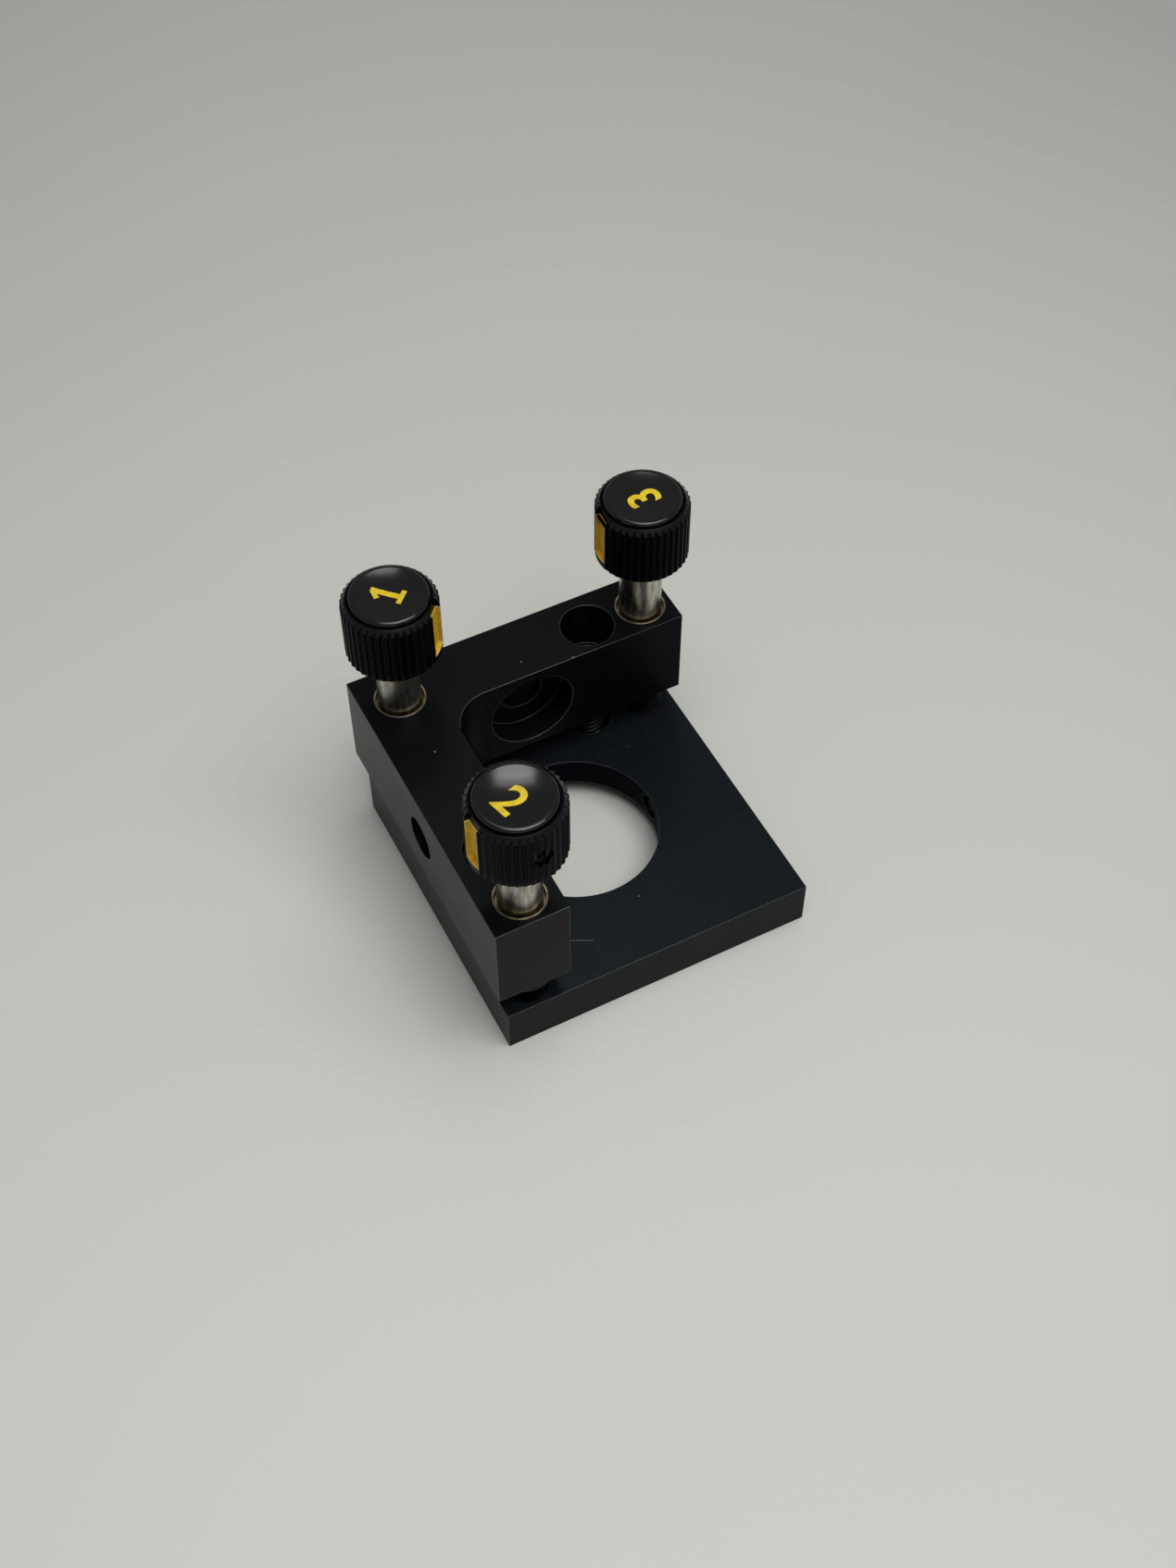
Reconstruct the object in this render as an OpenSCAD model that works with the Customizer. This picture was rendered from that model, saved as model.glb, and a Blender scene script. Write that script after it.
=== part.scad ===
// Kinematic mirror mount: an L-shaped rear frame carries three fine adjusters whose balls
// seat in a cone, a vee and a flat on the front plate. Two extension springs pull the
// plate back on to the balls. The mount lies on its front face, knobs up.
// The origin is on the front face, at the centre of the square that the adjusters mark.

/* [Rear frame] */
// Outer length of both arms
frame_len = 50.5; // [48:0.5:56]
// Width of the side arm
side_arm_w = 11.3; // [10.8:0.1:13]
// Width of the back arm
back_arm_w = 10.9; // [10.5:0.1:13]
// Thickness of the frame
frame_t = 16; // [15:0.5:20]
// Radius of the inner corner
inner_fillet = 6; // [2:0.5:8]
// Gap between the frame and the plate
frame_gap = 5; // [4.5:0.1:7]

/* [Front plate] */
// Thickness of the plate
plate_t = 8; // [7.5:0.1:10]
// Step back of the plate from the two outer faces of the frame
plate_inset = 1.2; // [0.2:0.1:1.4]
// Distance of the optic axis from both outer faces of the frame
optic_inset = 25; // [24.4:0.1:25.4]
// Diameter of the optic bore, for a 25.4 optic
optic_bore_d = 25.5; // [20:0.1:26]
// Length of the optic bore's wall, the rest being a 45 degree relief to the front
optic_land = 5; // [4.5:0.1:6]

/* [Post holes] */
// Distance of both holes from the outer face of the other arm
post_inset = 25.1; // [23:0.1:26]
// Diameter of the clearance holes, for a screw of 6
post_hole_d = 6.6; // [5.5:0.1:7]
// Diameter of the counterbores on the inner faces
post_head_d = 13.5; // [11:0.1:14]
// Depth of the counterbores
post_head_depth = 4; // [3:0.1:5]

/* [Adjusters] */
// Distance of the corner adjuster from both outer faces
adj_inset = 6; // [5.5:0.1:6.2]
// Distance of the two end adjusters from the ends of their arms
end_inset = 4.7; // [4.5:0.1:6]
// Diameter of the adjuster screws
screw_d = 6.4; // [6:0.1:6.8]
// Diameter of the tip balls
ball_d = 4.8; // [4.4:0.1:5]
// Radial running clearance of screw in bushing and of ball in screw
running_gap = 0.04; // [0.02:0.01:0.08]
// Height of the knob's underside above the ball's centre
stem_len = 30.8; // [28:0.2:36]
// Outer diameter of the bushings
bushing_d = 7.7; // [7.5:0.1:8.4]
// Diameter of the bushing flange on the front side of the frame
flange_d = 9.2; // [9:0.1:10]
// Thickness of that flange
flange_t = 1.2; // [0.8:0.1:1.5]

/* [Knobs] */
// Diameter of the knobs over the ridges
knob_d = 13.9; // [13.5:0.1:16]
// Height of the knobs, without the cap
knob_h = 10.4; // [9:0.1:14]
// Number of flutes round the knob
flutes = 40; // [32:4:44]
// Width of one flute
flute_w = 0.8; // [0.5:0.05:0.85]
// Depth of one flute
flute_depth = 0.3; // [0.15:0.05:0.35]
// Diameter of the knob's flat top edge
shoulder_d = 12.4; // [12.2:0.1:12.8]
// Height of the shoulder's slope
shoulder_h = 0.65; // [0.4:0.05:1]
// Chamfer at the foot of the knob
foot_chamfer = 0.55; // [0.3:0.05:0.6]
// Diameter of the glossy cap
cap_d = 11.4; // [11:0.1:11.6]
// Height of the cap's rim above the knob
cap_proud = 0.65; // [0.4:0.05:1]
// Radius of the cap's rounded rim
cap_edge = 0.3; // [0.1:0.05:0.35]
// Depth that the cap sits in the knob
cap_seat = 0.9; // [0.6:0.1:1.5]
// Diameter of the shallow dish in the cap's top
dish_d = 10.1; // [8:0.1:10.2]
// Depth of that dish
dish_depth = 0.35; // [0.1:0.05:0.5]
// Width of the index slot
mark_w = 3.05; // [2.4:0.05:3.2]
// Depth of the index slot, down to its yellow fill
mark_depth = 0.7; // [0.4:0.05:0.8]
// Distance of the slot from the knob's foot
mark_end = 1.5; // [1.2:0.1:2.5]
// Distance of the yellow fill from the knob's top
mark_drop = 1.6; // [1:0.1:2.5]
// Diameter of the knob's set screw
grub_d = 3; // [2.5:0.1:3.5]
// Height of the set screw above the knob's foot
grub_z = 5.3; // [4:0.1:6.5]

/* [Seats] */
// Diameter of the three hardened seats
seat_d = 8; // [7:0.1:8.2]
// Height of the seats
seat_h = 4.5; // [4:0.1:5]
// Mouth radius of the cone
cone_mouth = 2.45; // [2:0.05:2.8]
// Half width of the vee groove
vee_half = 2; // [1.8:0.02:2.4]
// Depth of the flat seat below the plate's rear face
flat_drop = 0.55; // [0.1:0.05:1]
// Clearance of the balls from their seats
seat_gap = 0.14; // [0.1:0.01:0.2]

/* [Springs] */
// Distance of each spring from its end adjuster
spring_offset = 9; // [8.8:0.1:11]
// Diameter of the spring pockets
pocket_d = 8.2; // [8:0.1:8.4]
// Depth of the wide part of the frame's pockets, which holds the spring bar
frame_pocket = 8.4; // [6:0.2:9]
// Depth of the wide part of the plate's pockets
plate_pocket = 3.4; // [3:0.1:4]
// Diameter of the narrow part of each pocket
throat_d = 6.8; // [6.6:0.1:7.2]
// Mean radius of the spring's coils
coil_r = 2.4; // [2.2:0.05:2.5]
// Diameter of the spring wire
wire_d = 0.8; // [0.6:0.05:0.9]
// Turns of the spring
spring_turns = 12; // [6:2:12]
// Diameter of the spring bars
bar_d = 1.6; // [1.2:0.1:1.8]

/* [Optic screw] */
// Diameter of the set screw that holds the optic
optic_screw_d = 4; // [3:0.1:4.2]
// Length of that screw
optic_screw_len = 8; // [5:0.5:8.5]
// Length of its nylon tip
nylon_len = 2; // [1.5:0.1:2.5]

/* [Hidden] */
cut = 1;
fine = 64;
full_turn = 360;
hex_sides = 6;
ball_r = ball_d / 2;
screw_r = screw_d / 2;
knob_r = knob_d / 2;
cap_r = cap_d / 2;
wire_r = wire_d / 2;
bar_r = bar_d / 2;

// The adjusters stand on three corners of a square round the origin.
adj_pitch = frame_len - adj_inset - end_inset;
half_pitch = adj_pitch / 2;
corner_xy = [-half_pitch, half_pitch];
front_xy = [-half_pitch, -half_pitch];
right_xy = [half_pitch, half_pitch];
front_spring_xy = front_xy + [0, spring_offset];
right_spring_xy = right_xy - [spring_offset, 0];

// Outer faces and ends of the frame, its inner faces and the optic axis
side_face_x = -half_pitch - adj_inset;
back_face_y = half_pitch + adj_inset;
arm_end_x = side_face_x + frame_len;
arm_end_y = back_face_y - frame_len;
inner_x = side_face_x + side_arm_w;
inner_y = back_face_y - back_arm_w;
optic_x = side_face_x + optic_inset;
optic_y = back_face_y - optic_inset;
optic_r = optic_bore_d / 2;
optic_relief = plate_t - optic_land;
frame_bottom = plate_t + frame_gap;
frame_top = frame_bottom + frame_t;
frame_mid = frame_bottom + frame_t / 2;

// Height of each ball's centre: 45 degree walls touch a ball at sqrt(2) radii from their apex.
seat_reach = (ball_r + seat_gap) * sqrt(2);
corner_ball_z = plate_t - cone_mouth + seat_reach;
front_ball_z = plate_t - vee_half + seat_reach;
right_ball_z = plate_t - flat_drop + ball_r + seat_gap;
seat_relief_r = 0.8;

// Screw nose, which holds the ball a little past its middle
nose_start = 0.6;
nose_len = 1.2;
nose_r = ball_r + 0.35;
cap_spigot = 1.4;
cap_gap = 0.12;
screw_top = stem_len + knob_h - cap_seat - cap_spigot - cap_gap;
dish_r = (dish_d * dish_d / 4 + dish_depth * dish_depth) / (2 * dish_depth);

// Flutes are round cuts, their radius set by width and depth.
flute_pitch = full_turn / flutes;
flute_r = (flute_w * flute_w / 4 + flute_depth * flute_depth) / (2 * flute_depth);
fill_t = 0.14;
slot_wall = 0.15;
slot_floor = max(knob_r - mark_depth - fill_t, cap_r + cap_gap + slot_wall);
slot_clear = 0.5;
first_flute = ceil((asin(mark_w / 2 / knob_r) + asin(flute_w / 2 / knob_r) + slot_clear) / flute_pitch);

// Knob angles at rest: where each index mark points, and on which side its set screw is
corner_mark = 318;
front_mark = 185.5;
right_mark = 177.5;
grub_side = 90;
grub_tip_gap = 0.02;
grub_len = 2.9;
grub_socket_r = 0.87;
grub_socket_depth = 1.3;

// Spring bars lie on the step of their pockets, across the hooks.
bar_len = pocket_d - 0.4;
bar_rest = 0.02;
hook_gap = 0.08;
frame_bar_z = frame_top - frame_pocket + bar_r + bar_rest;
plate_bar_z = plate_pocket - bar_r - bar_rest;
hook_reach = bar_r + wire_r + hook_gap;
throat_chamfer = 0.6;
spring_mid_z = (frame_bar_z + plate_bar_z) / 2;
hook_centre = frame_bar_z - spring_mid_z + hook_reach - coil_r;
hook_join = 1.1;
coil_top = hook_centre - coil_r - wire_r;
coil_end_angle = -112 + full_turn * round(spring_turns / 2);
steps_per_turn = 14;
wire_sides = 6;
hook_open = 240;
hook_step = 20;
bend_steps = 5;

optic_screw_z = optic_relief + optic_land / 2;
optic_screw_gap = 0.4;
nylon_d = 2.2;
optic_socket_r = 1.15;
optic_socket_depth = 2.5;
screw_chamfer = 0.3;

anodised = "#1d1e21";
side_black = "#222326";
gloss_black = "#101114";
steel = "#a9a69e";
hard_steel = "#8d8f92";
dark_steel = "#3a3b3e";
wire_steel = "#55555a";
brass = "#b59a55";
yellow = "#e0b41c";
nylon = "#1b1b1d";

$fn = fine;

module at(xy, z) {
    translate([xy[0], xy[1], z]) children();
}

// The L outline, with a round inner corner
module frame_outline() {
    translate([side_face_x, arm_end_y]) square([side_arm_w, frame_len]);
    translate([side_face_x, inner_y]) square([frame_len, back_arm_w]);
    translate([inner_x, inner_y - inner_fillet]) difference() {
        square(inner_fillet);
        translate([inner_fillet, 0]) circle(inner_fillet);
    }
}

// A post hole along +X from the outer face, with its counterbore at arm_w
module post_hole(arm_w) {
    rotate([0, 90, 0]) translate([0, 0, -cut]) cylinder(d = post_hole_d, h = arm_w + 2 * cut);
    translate([arm_w - post_head_depth, 0, 0]) rotate([0, 90, 0])
        cylinder(d = post_head_d, h = post_head_depth + cut);
}

// A pocket through a wall: wide from z = 0 to the step that the bar lies on, and narrow beyond
module spring_pocket(wall, step) {
    translate([0, 0, -cut]) cylinder(d = pocket_d, h = step + cut);
    cylinder(d = throat_d, h = wall + cut);
}

module rear_frame() {
    color(anodised) difference() {
        translate([0, 0, frame_bottom]) linear_extrude(frame_t) frame_outline();
        for (xy = [corner_xy, front_xy, right_xy])
            at(xy, frame_bottom - cut) cylinder(d = bushing_d, h = frame_t + 2 * cut);
        for (xy = [front_spring_xy, right_spring_xy])
            at(xy, frame_top) mirror([0, 0, 1]) spring_pocket(frame_t, frame_pocket);
        translate([side_face_x, back_face_y - post_inset, frame_mid]) post_hole(side_arm_w);
        translate([side_face_x + post_inset, back_face_y, frame_mid]) rotate([0, 0, -90])
            post_hole(back_arm_w);
    }
}

module front_plate() {
    plate_x = side_face_x + plate_inset;
    plate_w = arm_end_x - plate_x;
    plate_d = back_face_y - plate_inset - arm_end_y;
    color(anodised) difference() {
        translate([plate_x, arm_end_y, 0]) cube([plate_w, plate_d, plate_t]);
        translate([optic_x, optic_y, -cut]) cylinder(r = optic_r, h = plate_t + 2 * cut);
        translate([optic_x, optic_y, -cut])
            cylinder(r1 = optic_r + optic_relief + cut, r2 = optic_r, h = optic_relief + cut);
        for (xy = [corner_xy, front_xy])
            at(xy, plate_t - seat_h) cylinder(d = seat_d, h = seat_h + cut);
        at(right_xy, plate_t - flat_drop - seat_h) cylinder(d = seat_d, h = seat_h + flat_drop + cut);
        for (xy = [front_spring_xy, right_spring_xy]) {
            at(xy, 0) spring_pocket(plate_t, plate_pocket);
            at(xy, plate_t - throat_chamfer)
                cylinder(d1 = throat_d, d2 = throat_d + 2 * throat_chamfer + 2 * cut,
                    h = throat_chamfer + cut);
        }
        translate([optic_x, optic_y, optic_screw_z]) rotate([0, 90, 0])
            cylinder(d = optic_screw_d, h = frame_len);
    }
}

module bushing() {
    difference() {
        union() {
            translate([0, 0, frame_bottom]) cylinder(d = bushing_d, h = frame_t);
            translate([0, 0, frame_bottom - flange_t]) cylinder(d = flange_d, h = flange_t);
        }
        translate([0, 0, frame_bottom - flange_t - cut])
            cylinder(r = screw_r + running_gap, h = frame_t + flange_t + 2 * cut);
    }
}

// A screw about its ball's centre, with a tapered nose and a round socket for the ball
module adjuster_screw() {
    difference() {
        union() {
            translate([0, 0, nose_start]) cylinder(r1 = nose_r, r2 = screw_r, h = nose_len);
            translate([0, 0, nose_start + nose_len])
                cylinder(r = screw_r, h = screw_top - nose_start - nose_len - screw_chamfer);
            translate([0, 0, screw_top - screw_chamfer])
                cylinder(r1 = screw_r, r2 = screw_r - screw_chamfer, h = screw_chamfer);
        }
        sphere(ball_r + running_gap);
    }
}

// The round blank of a knob, from its foot up, with the hole for the screw and the cap's seat
module knob_blank() {
    rotate_extrude() polygon([
        [screw_r, 0], [knob_r - foot_chamfer, 0], [knob_r, foot_chamfer],
        [knob_r, knob_h - shoulder_h], [shoulder_d / 2, knob_h], [cap_r + cap_gap, knob_h],
        [cap_r + cap_gap, knob_h - cap_seat], [screw_r, knob_h - cap_seat]]);
}

// A slot's space about +X with a flat floor, its floor, walls and low end drawn in by an inset
module slot_space(inset, top_z) {
    translate([slot_floor + inset, -mark_w / 2 + inset, mark_end + inset])
        cube([knob_r, mark_w - 2 * inset, top_z - mark_end - inset]);
}

// A knob with its index slot at +X, open at the top, and fluted all round the rest
module knob(grub_angle) {
    difference() {
        knob_blank();
        for (i = [first_flute : flutes - first_flute])
            rotate([0, 0, i * flute_pitch]) translate([knob_r - flute_depth + flute_r, 0, -cut])
                cylinder(r = flute_r, h = knob_h + 2 * cut);
        slot_space(0, knob_h + cut);
        rotate([0, 0, grub_angle]) translate([screw_r - cut, 0, grub_z]) rotate([0, 90, 0])
            cylinder(d = grub_d, h = knob_r);
    }
}

// The yellow fill that lines the slot up to a little below the knob's top, level with the ridges
module index_mark() {
    difference() {
        intersection() {
            slot_space(0, knob_h - mark_drop);
            cylinder(r = knob_r, h = knob_h);
        }
        slot_space(fill_t, knob_h);
    }
}

module set_screw() {
    translate([screw_r + grub_tip_gap, 0, grub_z]) rotate([0, 90, 0]) difference() {
        cylinder(d = grub_d, h = grub_len);
        translate([0, 0, grub_len - grub_socket_depth])
            cylinder(r = grub_socket_r, h = grub_socket_depth + cut, $fn = hex_sides);
    }
}

// The cap, from the seat up, with a round rim, a dished top and a spigot in the knob's hole
module cap() {
    rim = cap_seat + cap_proud;
    translate([0, 0, knob_h - cap_seat]) {
        rotate_extrude() difference() {
            union() {
                square([cap_r, rim - cap_edge]);
                square([cap_r - cap_edge, rim]);
                translate([cap_r - cap_edge, rim - cap_edge]) circle(cap_edge);
            }
            translate([0, rim - dish_depth + dish_r]) circle(dish_r, $fn = 8 * fine);
        }
        translate([0, 0, -cap_spigot]) cylinder(r = screw_r - cap_gap, h = cap_spigot);
    }
}

module seat_blank(top) {
    translate([0, 0, top - seat_h]) cylinder(d = seat_d, h = seat_h);
}

module cone_seat() {
    color(dark_steel) at(corner_xy, 0) difference() {
        seat_blank(plate_t);
        translate([0, 0, plate_t - cone_mouth + seat_relief_r])
            cylinder(r1 = seat_relief_r, r2 = cone_mouth + cut, h = cone_mouth - seat_relief_r + cut);
        translate([0, 0, plate_t - cone_mouth]) cylinder(r = seat_relief_r, h = cone_mouth);
    }
}

// The vee runs towards the cone, along Y.
module vee_seat() {
    apex = plate_t - vee_half;
    color(dark_steel) at(front_xy, 0) difference() {
        seat_blank(plate_t);
        translate([0, seat_d, 0]) rotate([90, 0, 0]) linear_extrude(2 * seat_d) polygon([
            [-seat_relief_r / 2, apex], [seat_relief_r / 2, apex],
            [seat_relief_r / 2, apex + seat_relief_r / 2], [vee_half + cut, plate_t + cut],
            [-vee_half - cut, plate_t + cut], [-seat_relief_r / 2, apex + seat_relief_r / 2]]);
    }
}

module flat_seat() {
    color(dark_steel) at(right_xy, 0) seat_blank(plate_t - flat_drop);
}

// A spring bar across its pocket, along X
module spring_bar() {
    rotate([0, 90, 0]) cylinder(d = bar_d, h = bar_len, center = true);
}

// Spring wire: the upper half of its centre line runs up the coils, bends up and hooks
// over in the YZ plane. Half a turn about X makes the lower half.
function coil_point(a) = [coil_r * cos(a), coil_r * sin(a), coil_top * a / coil_end_angle];
function hook_point(a) = [0, -coil_r * cos(a), hook_centre + coil_r * sin(a)];
function bezier(p, t) = pow(1 - t, 3) * p[0] + 3 * pow(1 - t, 2) * t * p[1]
    + 3 * (1 - t) * t * t * p[2] + pow(t, 3) * p[3];
coil_last = coil_point(coil_end_angle);
coil_heading = [-sin(coil_end_angle), cos(coil_end_angle), 0];
hook_first = hook_point(0);
bend = [coil_last, coil_last + hook_join * coil_heading, hook_first - [0, 0, hook_join], hook_first];
coil_steps = ceil(coil_end_angle / full_turn * steps_per_turn);
upper_half = concat(
    [for (i = [1 : coil_steps]) coil_point(coil_end_angle * i / coil_steps)],
    [for (i = [1 : bend_steps - 1]) bezier(bend, i / bend_steps)],
    [for (a = [0 : hook_step : hook_open]) hook_point(a)]);
spring_path = concat(
    [for (i = [len(upper_half) - 1 : -1 : 0]) [upper_half[i][0], -upper_half[i][1], -upper_half[i][2]]],
    [coil_point(0)],
    upper_half);

function unit(v) = v / norm(v);
function heading(path, i) = unit(path[min(i + 1, len(path) - 1)] - path[max(i - 1, 0)]);
function level(v, t) = unit(v - (v * t) * t);
// Side vectors carried along the path without twist
function sides_of(path) = [for (
    i = 0, s = level([1, 0, 0], heading(path, 0));
    i < len(path);
    i = i + 1, s = i < len(path) ? level(s, heading(path, i)) : s) s];

// A round wire along a path
module wire(path, r) {
    n = wire_sides;
    rings = len(path);
    sides = sides_of(path);
    points = [for (i = [0 : rings - 1], k = [0 : n - 1])
        path[i] + r * (cos(full_turn * k / n) * sides[i]
            + sin(full_turn * k / n) * cross(heading(path, i), sides[i]))];
    walls = [for (i = [0 : rings - 2], k = [0 : n - 1])
        [i * n + k, (i + 1) * n + k, (i + 1) * n + (k + 1) % n, i * n + (k + 1) % n]];
    first_end = [for (k = [0 : n - 1]) k];
    last_end = [for (k = [n - 1 : -1 : 0]) (rings - 1) * n + k];
    polyhedron(points, concat(walls, [first_end, last_end]));
}

// An extension spring whose bars lie along X
module extension_spring() {
    translate([0, 0, spring_mid_z]) wire(spring_path, wire_r);
}

module corner_bushing() { color(brass) at(corner_xy, 0) bushing(); }
module front_bushing() { color(brass) at(front_xy, 0) bushing(); }
module right_bushing() { color(brass) at(right_xy, 0) bushing(); }

module corner_screw() { color(steel) at(corner_xy, corner_ball_z) adjuster_screw(); }
module front_screw() { color(steel) at(front_xy, front_ball_z) adjuster_screw(); }
module right_screw() { color(steel) at(right_xy, right_ball_z) adjuster_screw(); }

module corner_ball() { color(hard_steel) at(corner_xy, corner_ball_z) sphere(ball_r); }
module front_ball() { color(hard_steel) at(front_xy, front_ball_z) sphere(ball_r); }
module right_ball() { color(hard_steel) at(right_xy, right_ball_z) sphere(ball_r); }

// Places children that are drawn from the knob's foot, turned to the index mark
module on_corner() { at(corner_xy, corner_ball_z + stem_len) rotate([0, 0, corner_mark]) children(); }
module on_front() { at(front_xy, front_ball_z + stem_len) rotate([0, 0, front_mark]) children(); }
module on_right() { at(right_xy, right_ball_z + stem_len) rotate([0, 0, right_mark]) children(); }

module corner_knob() { color(side_black) on_corner() knob(grub_side); }
module front_knob() { color(side_black) on_front() knob(grub_side); }
module right_knob() { color(side_black) on_right() knob(-grub_side); }

module corner_cap() { color(gloss_black) on_corner() cap(); }
module front_cap() { color(gloss_black) on_front() cap(); }
module right_cap() { color(gloss_black) on_right() cap(); }

module corner_index_mark() { color(yellow) on_corner() index_mark(); }
module front_index_mark() { color(yellow) on_front() index_mark(); }
module right_index_mark() { color(yellow) on_right() index_mark(); }

module corner_set_screw() { color(dark_steel) on_corner() rotate([0, 0, grub_side]) set_screw(); }
module front_set_screw() { color(dark_steel) on_front() rotate([0, 0, grub_side]) set_screw(); }
module right_set_screw() { color(dark_steel) on_right() rotate([0, 0, -grub_side]) set_screw(); }

module front_spring() { color(wire_steel) at(front_spring_xy, 0) rotate([0, 0, 90]) extension_spring(); }
module right_spring() { color(wire_steel) at(right_spring_xy, 0) extension_spring(); }

module front_spring_rear_bar() {
    color(steel) at(front_spring_xy, frame_bar_z) rotate([0, 0, 90]) spring_bar();
}
module front_spring_plate_bar() {
    color(steel) at(front_spring_xy, plate_bar_z) rotate([0, 0, 90]) spring_bar();
}
module right_spring_rear_bar() { color(steel) at(right_spring_xy, frame_bar_z) spring_bar(); }
module right_spring_plate_bar() { color(steel) at(right_spring_xy, plate_bar_z) spring_bar(); }

// The optic's set screw enters from the plate's right side. Its nylon tip ends short of the bore.
module on_optic_screw() {
    translate([optic_x + optic_r + optic_screw_gap, optic_y, optic_screw_z]) rotate([0, 90, 0])
        children();
}
module nylon_tip() { color(nylon) on_optic_screw() cylinder(d = nylon_d, h = nylon_len); }
module optic_screw() {
    color(dark_steel) on_optic_screw() translate([0, 0, nylon_len]) difference() {
        cylinder(d = optic_screw_d, h = optic_screw_len);
        translate([0, 0, optic_screw_len - optic_socket_depth])
            cylinder(r = optic_socket_r, h = optic_socket_depth + cut, $fn = hex_sides);
    }
}

rear_frame();
front_plate();
corner_bushing();
front_bushing();
right_bushing();
corner_screw();
front_screw();
right_screw();
corner_ball();
front_ball();
right_ball();
corner_knob();
front_knob();
right_knob();
corner_cap();
front_cap();
right_cap();
corner_index_mark();
front_index_mark();
right_index_mark();
corner_set_screw();
front_set_screw();
right_set_screw();
cone_seat();
vee_seat();
flat_seat();
front_spring();
right_spring();
front_spring_rear_bar();
front_spring_plate_bar();
right_spring_rear_bar();
right_spring_plate_bar();
optic_screw();
nylon_tip();
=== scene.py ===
from contextlib import contextmanager
from functools import partial
from math import asin, ceil, cos, pi, radians, sin, sqrt, tan

import bmesh
import bpy
from mathutils import Matrix, Vector


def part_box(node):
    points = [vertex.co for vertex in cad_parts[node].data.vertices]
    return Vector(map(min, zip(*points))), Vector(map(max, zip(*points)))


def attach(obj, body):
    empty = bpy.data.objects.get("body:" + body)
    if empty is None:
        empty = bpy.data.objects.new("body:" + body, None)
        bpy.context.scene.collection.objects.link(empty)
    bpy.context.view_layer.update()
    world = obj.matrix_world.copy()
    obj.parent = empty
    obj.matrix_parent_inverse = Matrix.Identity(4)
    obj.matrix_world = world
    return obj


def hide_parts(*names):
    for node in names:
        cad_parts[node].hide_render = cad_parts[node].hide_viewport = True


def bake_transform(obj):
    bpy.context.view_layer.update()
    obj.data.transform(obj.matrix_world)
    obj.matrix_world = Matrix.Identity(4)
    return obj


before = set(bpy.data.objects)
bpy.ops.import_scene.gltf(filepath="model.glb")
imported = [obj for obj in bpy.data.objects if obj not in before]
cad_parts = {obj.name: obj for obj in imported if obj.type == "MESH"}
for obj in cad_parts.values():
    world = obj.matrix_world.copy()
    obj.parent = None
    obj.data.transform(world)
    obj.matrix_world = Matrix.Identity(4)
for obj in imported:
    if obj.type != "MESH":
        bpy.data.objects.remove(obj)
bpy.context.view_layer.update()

bl_info = {
    "name": "Kinematic mirror mount",
    "version": (1, 0, 0),
    "blender": (4, 5, 0),
    "location": "View3D > Sidebar > Mount",
    "description": "Fine geometry and finishes for a kinematic mirror mount",
    "category": "Add Mesh",
}

MM = 0.001
SIDES = ("corner", "front", "right")
# Angles at which an edge is sharp, and below which two faces are one
SHARP, KNOB_SHARP, WIRE_SHARP = (radians(degrees) for degrees in (30, 38, 50))
FLAT = radians(0.3)
# Distance at which points are one
CLOSE = 0.5e-6


# ---- node trees

def math_node(operation):
    """The method of an operator, which adds a Math node."""
    return lambda self, other: self.graph.math(operation, self, other)


class Value:
    """An output socket in a node tree. Arithmetic on it adds Math nodes."""

    def __init__(self, graph, socket):
        self.graph = graph
        self.socket = socket

    __add__ = __radd__ = math_node("ADD")
    __mul__ = __rmul__ = math_node("MULTIPLY")
    __sub__ = math_node("SUBTRACT")
    __truediv__ = math_node("DIVIDE")
    __lt__ = math_node("LESS_THAN")
    __gt__ = math_node("GREATER_THAN")

    def __rtruediv__(self, other):
        return self.graph.math("DIVIDE", other, self)


class Graph:
    """A shader or geometry node tree that is being built."""

    def __init__(self, tree):
        self.tree = tree

    def make(self, kind, sockets=None, out=0, **settings):
        """Adds a node: its settings first, then its sockets' values or links. Gives an output."""
        made = self.tree.nodes.new(kind)
        for name, value in settings.items():
            setattr(made, name, value)
        for key, value in (sockets or {}).items():
            if isinstance(value, Value):
                self.tree.links.new(value.socket, made.inputs[key])
            else:
                made.inputs[key].default_value = value
        if made.outputs:
            return Value(self, made.outputs[out])

    def math(self, operation, *values):
        return self.make("ShaderNodeMath", dict(enumerate(values)), operation=operation)

    def clamp(self, value):
        return self.make("ShaderNodeClamp", {"Value": value})

    def spread(self, value, low, high, to_low=0.0, to_high=1.0):
        """A smooth step of value from low to high, carried to another range."""
        return self.make("ShaderNodeMapRange", {
            "Value": value, "From Min": low, "From Max": high, "To Min": to_low,
            "To Max": to_high}, interpolation_type="SMOOTHSTEP")

    def vector(self, x, y, z):
        return self.make("ShaderNodeCombineXYZ", {"X": x, "Y": y, "Z": z})

    def axes(self, vector):
        """The three numbers of a vector."""
        split = self.make("ShaderNodeSeparateXYZ", {"Vector": vector}).socket.node
        return [Value(self, socket) for socket in split.outputs]

    def vectors(self, operation, first, second, out=0):
        return self.make("ShaderNodeVectorMath", {0: first, 1: second}, out, operation=operation)

    def tint(self, factor, first, second):
        """A mix of two colours."""
        return self.make("ShaderNodeMix", {0: factor, 6: first, 7: second}, 2, data_type="RGBA")


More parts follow.
